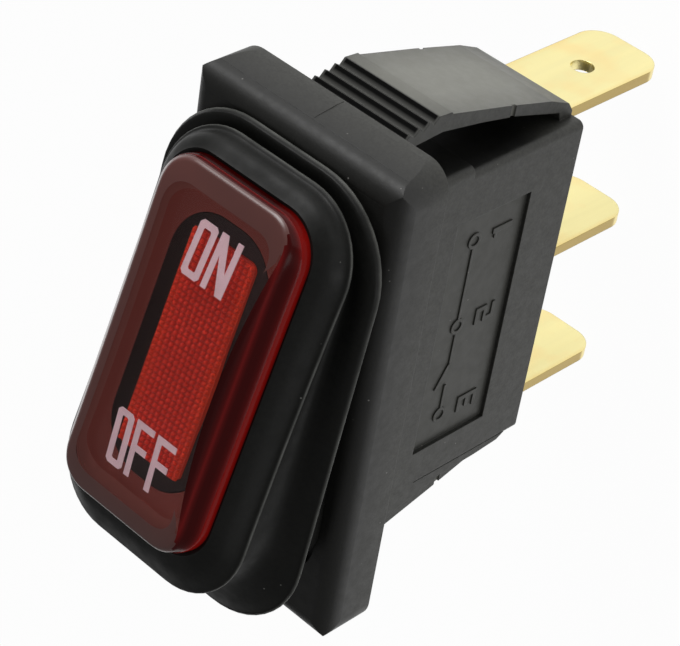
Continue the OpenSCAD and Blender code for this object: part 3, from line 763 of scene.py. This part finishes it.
class SWITCH_OT_crowned_lens(bpy.types.Operator):
    """Builds the crowned clear-red lens with drafted sides, and the tray under it"""

    bl_idname = "switch.crowned_lens"
    bl_label = "Build the crowned lens"

    def wall_rings(self, lens, shrink, foot, depth=0.0):
        """Rings of points up one skin of the lens, from its foot to the middle of its top."""
        hx, hy = lens.half_width / MM - shrink, lens.half_length / MM - shrink
        base = lens.base_height / MM
        lip = base + lens.lip / MM - shrink * 0.3
        outline = rounded_outline(hx, hy, LENS_CORNER - shrink * 0.8)
        soft = 0.34
        slope = 0.9
        end_slope = 0.08
        step = 0.05
        rings = []
        rings.append([(x, v, foot) for x, v, nx, ny in outline])
        rings.append([(x, v, lip - 0.12) for x, v, nx, ny in outline])
        rings.append([(x - step * nx, v - step * ny, lip) for x, v, nx, ny in outline])
        for part in (0.15, 0.4, 0.7, 1.0):
            ring = []
            for x, v, nx, ny in outline:
                top = crown_w(lens, v) - depth
                w = lip + (top - soft - lip) * part
                x2 = x - step * nx - slope * nx * abs(nx) * (w - lip)
                v2 = v - step * ny - end_slope * ny * (w - lip)
                ring.append((x2, v2, w))
            rings.append(ring)
        edge = rings[-1]
        for turn in (0.25, 0.5, 0.75, 1.0):
            ring = []
            a = turn * math.pi / 2
            for (x, v, w), (_, _, nx, ny) in zip(edge, outline):
                pull = soft * (1 - math.cos(a)) + slope * abs(nx) * soft * math.sin(a) * 0.5
                x2, v2 = x - nx * pull, v - ny * pull
                rise = (crown_w(lens, v2) - depth) - w
                ring.append((x2, v2, w + rise * math.sin(a)))
            rings.append(ring)
        rim = rings[-1]
        for size in (0.9, 0.8, 0.6, 0.4, 0.2):
            rings.append([(x * size, v * size, crown_w(lens, v * size) - depth) for x, v, _ in rim])
        return rings

    def execute(self, context):
        lens = context.scene.switch_lens
        base = lens.base_height / MM
        wall = lens.wall / MM
        side = lens.side_wall / MM
        away = lens.shift / MM
        outer = self.wall_rings(lens, 0.0, base)
        inner = self.wall_rings(lens, side, base, wall)
        count = len(outer[0])
        verts, faces, kinds = [], [], []
        outline = rounded_outline(lens.half_width / MM, lens.half_length / MM, LENS_CORNER)

        def outer_kind(k, v, nx):
            """Finish of an outer face in ring k; the shoulder is clear along the label side."""
            if k < RIM_RINGS:
                return RIM
            if k < WALL_RINGS:
                return WALL
            if k >= SHOULDER_RINGS:
                return CLEAR
            if nx > 0.5 and abs(v) < OPEN_HALF_LENGTHS[k - WALL_RINGS]:
                return WALL if k < WALL_RINGS + 2 else CLEAR
            return EDGE

        def add_skin(rings):
            first = len(verts)
            for ring in rings:
                verts.extend(rocker_point(x, v + away, w) for x, v, w in ring)
            for k in range(len(rings) - 1):
                faces.extend(strip_faces(first + k * count, first + (k + 1) * count, count))
                if rings is inner:
                    kinds.extend([INNER if k < SHOULDER_RINGS else CLEAR] * count)
                else:
                    kinds.extend(outer_kind(k, v, nx) for _, v, nx, _ in outline)
            verts.append(rocker_point(0, away, crown_w(lens, 0) - (wall if rings is inner else 0)))
            centre = len(verts) - 1
            last = first + (len(rings) - 1) * count
            for i in range(count):
                faces.append((last + i, last + (i + 1) % count, centre))
                kinds.append(CLEAR)
            return first

        a = add_skin(outer)
        b = add_skin(inner)
        foot = strip_faces(a, b, count)
        faces.extend(foot)
        kinds.extend([RIM] * len(foot))
        cap = solid("lens_cap", verts, faces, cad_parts["rocker_lens"].data.materials[0], 75)
        for material in (lens_wall_red(lens.side), lens_rim_red(lens.rim), lens_edge_red(lens.edge),
                         lit_inside("lens_inner_red", lens.inner)):
            cap.data.materials.append(material)
        for face, kind in zip(cap.data.polygons, kinds):
            face.material_index = kind
        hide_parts("rocker_lens")
        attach(cap, "rocker")

        around = self.wall_rings(lens, side + 0.05, base + 0.02)[0]
        opening = [(x, v) for x, v, _, _ in rounded_outline(4.2, 9.15, 3.45)]
        skin = [around, [(x, v, base + 0.11) for x, v, _ in around]]
        for part in (0.5, 1.0):
            skin.append([(x + (x2 - x) * part, v + (v2 - v) * part, base + 0.11)
                         for (x, v, _), (x2, v2) in zip(around, opening)])
        skin.append([(x, v, base + 0.02) for x, v in opening])
        tray_verts, tray_faces = [], []
        for ring in skin:
            tray_verts.extend(rocker_point(x, v + away, w) for x, v, w in ring)
        for k in range(len(skin)):
            tray_faces += strip_faces(k * count, (k + 1) % len(skin) * count, count)
        tray = solid("lens_tray", tray_verts, tray_faces, lit_inside("tray_red", lens.tray), 40)
        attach(tray, "rocker")
        return {"FINISHED"}


class SWITCH_OT_prism_window(bpy.types.Operator):
    """Covers the window with a field of small prisms"""

    bl_idname = "switch.prism_window"
    bl_label = "Build the prismatic window"

    def tree(self, material):
        tree, entry = growing_tree("prism_field", (("Half Width", 0.0027), ("Half Length", 0.0077),
                                                   ("Pitch", 0.00056), ("Height", 0.00016)))
        nodes, links = tree.nodes, tree.links
        grid = nodes.new("GeometryNodeMeshGrid")
        for axis, half in (("X", "Half Width"), ("Y", "Half Length")):
            span = math_node(tree, "MULTIPLY", entry[half], 2.0)
            span = math_node(tree, "SUBTRACT", span, entry["Pitch"])
            links.new(span, grid.inputs[f"Size {axis}"])
            steps = math_node(tree, "ROUND", math_node(tree, "DIVIDE", span, entry["Pitch"]))
            links.new(math_node(tree, "ADD", steps, 1), grid.inputs[f"Vertices {axis}"])
        cone = nodes.new("GeometryNodeMeshCone")
        cone.inputs["Vertices"].default_value = 8
        cone.inputs["Radius Top"].default_value = 0.00008
        links.new(math_node(tree, "MULTIPLY", entry["Pitch"], 0.47), cone.inputs["Radius Bottom"])
        links.new(entry["Height"], cone.inputs["Depth"])
        place = nodes.new("GeometryNodeInstanceOnPoints")
        links.new(grid.outputs["Mesh"], place.inputs["Points"])
        links.new(cone.outputs["Mesh"], place.inputs["Instance"])
        dress(tree, place.outputs["Instances"], material)
        return tree

    def execute(self, context):
        s = context.scene.switch_window
        lens = context.scene.switch_lens
        tree = self.tree(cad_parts["window_diffuser"].data.materials[0])
        mesh = grown("window_prisms", tree, {"Half Width": s.half_width, "Half Length": s.half_length,
                                             "Pitch": s.pitch, "Height": s.height})
        plate = 0.655 * MM
        mesh.transform(upright_place(lens.shift, lens.base_height - s.sink + plate))
        field = add_piece("window_prisms", mesh)
        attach(field, "rocker")
        return {"FINISHED"}


def letter_outlines(sign, width, height, stroke):
    """Outline loops of one capital letter in its own box, lower left corner at 0, 0."""
    w, h, s = width, height, stroke
    if sign == "O":
        c = 0.22
        outer = [(c, 0), (w - c, 0), (w, c), (w, h - c), (w - c, h), (c, h), (0, h - c), (0, c)]
        k = s + c * 0.4
        inner = [(k, s), (w - k, s), (w - s, k), (w - s, h - k), (w - k, h - s), (k, h - s),
                 (s, h - k), (s, k)]
        return "ring", (outer, inner)
    if sign == "N":
        d = s * 1.25
        e = h * s / (w - d)
        left = h * (1 - s / (w - d))
        return "fill", [(0, 0), (s, 0), (s, left), (w - d, 0), (w, 0), (w, h), (w - s, h),
                        (w - s, e), (d, h), (0, h)]
    m = h * 0.54
    return "fill", [(0, 0), (s, 0), (s, m - s / 2), (w * 0.85, m - s / 2), (w * 0.85, m + s / 2),
                    (s, m + s / 2), (s, h - s), (w, h - s), (w, h), (0, h)]


def raised_shape(kind, loops, place, depth):
    """Vertices and faces of a thin raised shape; place(a, b, lift) gives row-frame points."""
    verts, faces = [], []
    if kind == "ring":
        outer, inner = loops
        n = len(outer)
        for lift in (0.0, depth):
            verts += [place(a, b, lift) for a, b in outer]
            verts += [place(a, b, lift) for a, b in inner]
        faces += strip_faces(0, n, n) + strip_faces(2 * n, 3 * n, n)
        faces += strip_faces(0, 2 * n, n) + strip_faces(n, 3 * n, n)
    else:
        n = len(loops)
        for lift in (0.0, depth):
            verts += [place(a, b, lift) for a, b in loops]
        faces += [tuple(range(n)), tuple(range(n, 2 * n))]
        faces += strip_faces(0, n, n)
    return verts, faces


def gather(shapes):
    """One vertex and face list out of several."""
    verts, faces = [], []
    for v, f in shapes:
        first = len(verts)
        verts += v
        faces += [tuple(first + i for i in face) for face in f]
    return verts, faces


class SWITCH_OT_lettering(bpy.types.Operator):
    """Prints ON and OFF inside the lens"""

    bl_idname = "switch.lettering"
    bl_label = "Print ON and OFF"

    def execute(self, context):
        marks = context.scene.switch_marks
        lens = context.scene.switch_lens
        stroke = marks.stroke / MM
        wall = lens.wall / MM
        away = lens.shift / MM
        ink = letter_white(marks.ink)
        words = {
            "on_lettering": (5.0, 3.7, (("O", -1.85, 1.55), ("N", -0.02, 1.85))),
            "off_lettering": (-9.2, 4.1, (("O", -2.68, 1.45), ("F", -0.95, 1.6), ("F", 0.95, 1.7))),
        }
        for name, (v0, height, letters) in words.items():
            shapes = []
            for sign, x0, width in letters:
                kind, loops = letter_outlines(sign, width, height, stroke)

                def place(a, b, lift, x0=x0, v0=v0):
                    v = v0 + b
                    return rocker_point(x0 + a, v + away, crown_w(lens, v) - wall - 0.09 + lift)

                shapes.append(raised_shape(kind, loops, place, 0.06))
            verts, faces = gather(shapes)
            word = solid(name, verts, faces, ink, 30)
            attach(word, "rocker")
        return {"FINISHED"}


NUMERALS = {
    "1": [((0.28, 0), (0.5, 1)), ((0.08, 0.78), (0.28, 0.9))],
    "2": [((0, 0), (0.7, 0.16)), ((0, 0.16), (0.18, 0.42)), ((0, 0.42), (0.7, 0.58)),
          ((0.52, 0.58), (0.7, 0.84)), ((0, 0.84), (0.7, 1))],
    "3": [((0, 0), (0.7, 0.16)), ((0.52, 0.16), (0.7, 0.42)), ((0.12, 0.42), (0.7, 0.58)),
          ((0.52, 0.58), (0.7, 0.84)), ((0, 0.84), (0.7, 1))],
}


class SWITCH_OT_side_marks(bpy.types.Operator):
    """Moulds plain tab numerals and a simple contact diagram into the label panel"""

    bl_idname = "switch.side_marks"
    bl_label = "Mould the side marks"

    def execute(self, context):
        shapes = []

        def place(a, b, lift):
            return Vector((LABEL_FLOOR_X - 0.02 + lift, a, b)) * MM

        def bar(y0, z0, y1, z1):
            corners = [(y0, z0), (y1, z0), (y1, z1), (y0, z1)]
            shapes.append(raised_shape("fill", corners, place, height))

        height = 0.12
        size = 1.9
        foot = -12.9
        for sign, y in (("3", -8.3), ("2", -0.7), ("1", 6.3)):
            for (a0, b0), (a1, b1) in NUMERALS[sign]:
                bar(y + a0 * size, foot + b0 * size, y + a1 * size, foot + b1 * size)
        for y in (-7.6, 0.0, 7.0):
            ring = [[(y + r * math.cos(a), -9.2 + r * math.sin(a))
                     for a in (2 * math.pi * k / 20 for k in range(20))] for r in (0.62, 0.38)]
            shapes.append(raised_shape("ring", ring, place, height))
        bar(-7.0, -9.3, -5.0, -9.1)
        bar(0.62, -9.3, 6.38, -9.1)
        bar(-3.2, -9.3, -0.62, -9.1)
        lever = [(-5.1, -8.25), (-5.0, -8.05), (-3.1, -9.1), (-3.2, -9.3)]
        shapes.append(raised_shape("fill", lever, place, height))
        verts, faces = gather(shapes)
        marks = solid("side_marks", verts, faces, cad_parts["housing"].data.materials[0], 30)
        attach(marks, "housing")
        return {"FINISHED"}


class SWITCH_OT_coil_springs(bpy.types.Operator):
    """Winds the two small springs as real helices"""

    bl_idname = "switch.coil_springs"
    bl_label = "Wind the springs"

    def tree(self, material):
        tree, entry = growing_tree("wound_spring", (("Turns", 8.0), ("Radius", 0.0008),
                                                    ("Length", 0.005), ("Wire Radius", 0.00015)))
        nodes, links = tree.nodes, tree.links
        spiral = nodes.new("GeometryNodeCurveSpiral")
        spiral.inputs["Resolution"].default_value = 28
        links.new(entry["Turns"], spiral.inputs["Rotations"])
        links.new(entry["Radius"], spiral.inputs["Start Radius"])
        links.new(entry["Radius"], spiral.inputs["End Radius"])
        links.new(entry["Length"], spiral.inputs["Height"])
        section = nodes.new("GeometryNodeCurvePrimitiveCircle")
        section.inputs["Resolution"].default_value = 10
        links.new(entry["Wire Radius"], section.inputs["Radius"])
        sweep = nodes.new("GeometryNodeCurveToMesh")
        sweep.inputs["Fill Caps"].default_value = True
        links.new(spiral.outputs["Curve"], sweep.inputs["Curve"])
        links.new(section.outputs["Curve"], sweep.inputs["Profile Curve"])
        dress(tree, sweep.outputs["Mesh"], material)
        return tree

    def wind(self, name, tree, values, place):
        mesh = grown(name, tree, values)
        mesh.transform(place)
        mesh.shade_smooth()
        spring = add_piece(name, mesh)
        return spring

    def execute(self, context):
        tree = self.tree(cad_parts["lamp_spring"].data.materials[0])
        low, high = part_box("lamp_spring")
        wire = 0.15 * MM
        middle = (low + high) / 2
        values = {"Turns": 6.5, "Radius": (high.x - low.x) / 2 - wire,
                  "Length": high.z - low.z - 2 * wire, "Wire Radius": wire}
        spring = self.wind("wound_lamp_spring", tree, values,
                           Matrix.Translation((middle.x, middle.y, low.z + wire)))
        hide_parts("lamp_spring")
        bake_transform(spring)
        bottom, top = -3.38, 2.28
        values = {"Turns": 10.5, "Radius": 0.85 * MM, "Length": (top - bottom) * MM - 2 * wire,
                  "Wire Radius": wire}
        spring = self.wind("wound_plunger_spring", tree, values,
                           upright_place(0, bottom * MM + wire))
        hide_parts("plunger_spring")
        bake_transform(spring)
        return {"FINISHED"}


class SWITCH_OT_moulding_lines(bpy.types.Operator):
    """Adds the fine parting lines of the bezel"""

    bl_idname = "switch.moulding_lines"
    bl_label = "Add the moulding lines"

    def execute(self, context):
        shapes = []
        for side in (1, -1):
            path = [(18.57, 0.15), (18.55, 0.9), (18.31, 2.6), (18.15, 3.1), (17.75, 3.8),
                    (17.2, 4.17), (16.95, 4.215)]
            low, high = [], []
            for y, z in path:
                low.append((side * (y - 0.06) - 0.3, z - 0.03))
                high.append((side * (y + 0.012) - 0.3, z + 0.012))
            verts, faces = [], []
            for x in (-0.05, 0.05):
                verts += [Vector((x, y, z)) * MM for y, z in low]
                verts += [Vector((x * 0.4, y, z)) * MM for y, z in high]
            n = len(path)
            for k in range(n - 1):
                faces.append((k, k + 1, n + k + 1, n + k))
                faces.append((2 * n + k, 2 * n + k + 1, 3 * n + k + 1, 3 * n + k))
                faces.append((k, k + 1, 2 * n + k + 1, 2 * n + k))
                faces.append((n + k, n + k + 1, 3 * n + k + 1, 3 * n + k))
            faces.append((0, n, 3 * n, 2 * n))
            faces.append((n - 1, 2 * n - 1, 4 * n - 1, 3 * n - 1))
            shapes.append((verts, faces))
        verts, faces = gather(shapes)
        lines = solid("bezel_parting_line", verts, faces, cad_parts["housing"].data.materials[0], 30)
        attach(lines, "housing")
        return {"FINISHED"}


class SWITCH_OT_studio(bpy.types.Operator):
    """Sets the pale floor, the soft lights and the camera"""

    bl_idname = "switch.studio"
    bl_label = "Set the studio"

    def floor_material(self):
        f = Finish("pale_floor", (0.9, 0.9, 0.9), 0.9, Specular_IOR_Level=0.1)
        f.colour(f.ramp(f.noise(8), [(0.3, (0.89, 0.89, 0.89)), (0.7, (0.91, 0.91, 0.91))]))
        glow = f.nodes.new("ShaderNodeEmission")
        glow.inputs["Color"].default_value = (1, 1, 1, 1)
        glow.inputs["Strength"].default_value = 1.0
        share = self.seen(f.tree, 0.97, True)
        mix = f.nodes.new("ShaderNodeMixShader")
        f.links.new(share, mix.inputs["Fac"])
        f.links.new(f.shader.outputs["BSDF"], mix.inputs[1])
        f.links.new(glow.outputs["Emission"], mix.inputs[2])
        f.links.new(mix.outputs["Shader"], f.nodes["Material Output"].inputs["Surface"])
        return f.material

    def seen(self, tree, share, mirrored):
        """A socket that is share for camera rays, and for glossy ones too where mirrored."""
        path = tree.nodes.new("ShaderNodeLightPath")
        look = path.outputs["Is Camera Ray"]
        if mirrored:
            look = math_node(tree, "MAXIMUM", look, path.outputs["Is Glossy Ray"])
        return math_node(tree, "MULTIPLY", look, share)

    def area(self, name, spot, size, power):
        data = bpy.data.lights.new(name, "AREA")
        data.shape = "DISK"
        data.size = size
        data.energy = power
        lamp = add_piece(name, data)
        lamp.location = spot
        aim = Vector((0, 0, -0.005)) - Vector(spot)
        lamp.rotation_euler = aim.to_track_quat("-Z", "Y").to_euler()

    def execute(self, context):
        s = context.scene.switch_stage
        low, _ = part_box("terminal_lamp")
        z = low.z - s.floor_gap
        half = 1.5
        mesh = bpy.data.meshes.new("pale_floor")
        mesh.from_pydata([(-half, -half, z), (half, -half, z), (half, half, z), (-half, half, z)],
                         [], [(0, 1, 2, 3)])
        mesh.materials.append(self.floor_material())
        add_piece("pale_floor", mesh)

        world = bpy.data.worlds.new("plain_surroundings")
        context.scene.world = world
        world.use_nodes = True
        nodes, links = world.node_tree.nodes, world.node_tree.links
        soft = nodes["Background"]
        soft.inputs["Color"].default_value = (1, 1, 1, 1)
        soft.inputs["Strength"].default_value = s.ambient
        white = nodes.new("ShaderNodeBackground")
        white.inputs["Color"].default_value = (1, 1, 1, 1)
        white.inputs["Strength"].default_value = 1.0
        mix = nodes.new("ShaderNodeMixShader")
        links.new(self.seen(world.node_tree, 1.0, False), mix.inputs["Fac"])
        links.new(soft.outputs["Background"], mix.inputs[1])
        links.new(white.outputs["Background"], mix.inputs[2])
        links.new(mix.outputs["Shader"], nodes["World Output"].inputs["Surface"])

        self.area("key_light", (-0.16, 0.48, 0.11), 0.3, s.key_power)
        self.area("fill_light", (0.50, -0.05, 0.05), 0.35, s.fill_power)

        camera = bpy.data.cameras.new("studio_camera")
        camera.sensor_width = 36
        camera.lens = 133.275
        camera.clip_start = 0.01
        camera.clip_end = 10
        view = add_piece("studio_camera", camera)
        view.location = Vector((84.447, 98.606, 101.083)) * MM
        view.rotation_euler = [math.radians(a) for a in (-29.11, 44.282, 10.906)]
        context.scene.camera = view
        context.scene.view_settings.view_transform = "Standard"
        return {"FINISHED"}


class SWITCH_PT_panel(bpy.types.Panel):
    """Lists the switch's settings and steps"""

    bl_idname = "SWITCH_PT_panel"
    bl_label = "Rocker Switch"
    bl_space_type = "VIEW_3D"
    bl_region_type = "UI"
    bl_category = "Rocker Switch"

    def draw(self, context):
        layout = self.layout
        for name in SETTINGS:
            box = layout.box()
            group = getattr(context.scene, name)
            box.label(text=name.replace("_", " "))
            for key in group.__annotations__:
                box.prop(group, key)
        for step in STEPS:
            layout.operator(step.bl_idname)


SETTINGS = {
    "switch_finish": SwitchFinishSettings,
    "switch_boot": SwitchBootSettings,
    "switch_lens": SwitchLensSettings,
    "switch_window": SwitchWindowSettings,
    "switch_marks": SwitchMarkSettings,
    "switch_stage": SwitchStageSettings,
}
STEPS = (
    SWITCH_OT_finish_frame,
    SWITCH_OT_bellows_boot,
    SWITCH_OT_crowned_lens,
    SWITCH_OT_prism_window,
    SWITCH_OT_lettering,
    SWITCH_OT_side_marks,
    SWITCH_OT_moulding_lines,
    SWITCH_OT_coil_springs,
    SWITCH_OT_studio,
)


def register():
    for group in SETTINGS.values():
        bpy.utils.register_class(group)
    for name, group in SETTINGS.items():
        setattr(bpy.types.Scene, name, PointerProperty(type=group))
    for step in STEPS:
        bpy.utils.register_class(step)
    bpy.utils.register_class(SWITCH_PT_panel)


def unregister():
    bpy.utils.unregister_class(SWITCH_PT_panel)
    for step in reversed(STEPS):
        bpy.utils.unregister_class(step)
    for name, group in SETTINGS.items():
        delattr(bpy.types.Scene, name)
        bpy.utils.unregister_class(group)


def main():
    register()
    bpy.ops.switch.finish_frame()
    bpy.ops.switch.bellows_boot()
    bpy.ops.switch.crowned_lens()
    bpy.ops.switch.prism_window()
    bpy.ops.switch.lettering()
    bpy.ops.switch.side_marks()
    bpy.ops.switch.moulding_lines()
    bpy.ops.switch.coil_springs()
    bpy.ops.switch.studio()


if __name__ == "__main__":
    main()
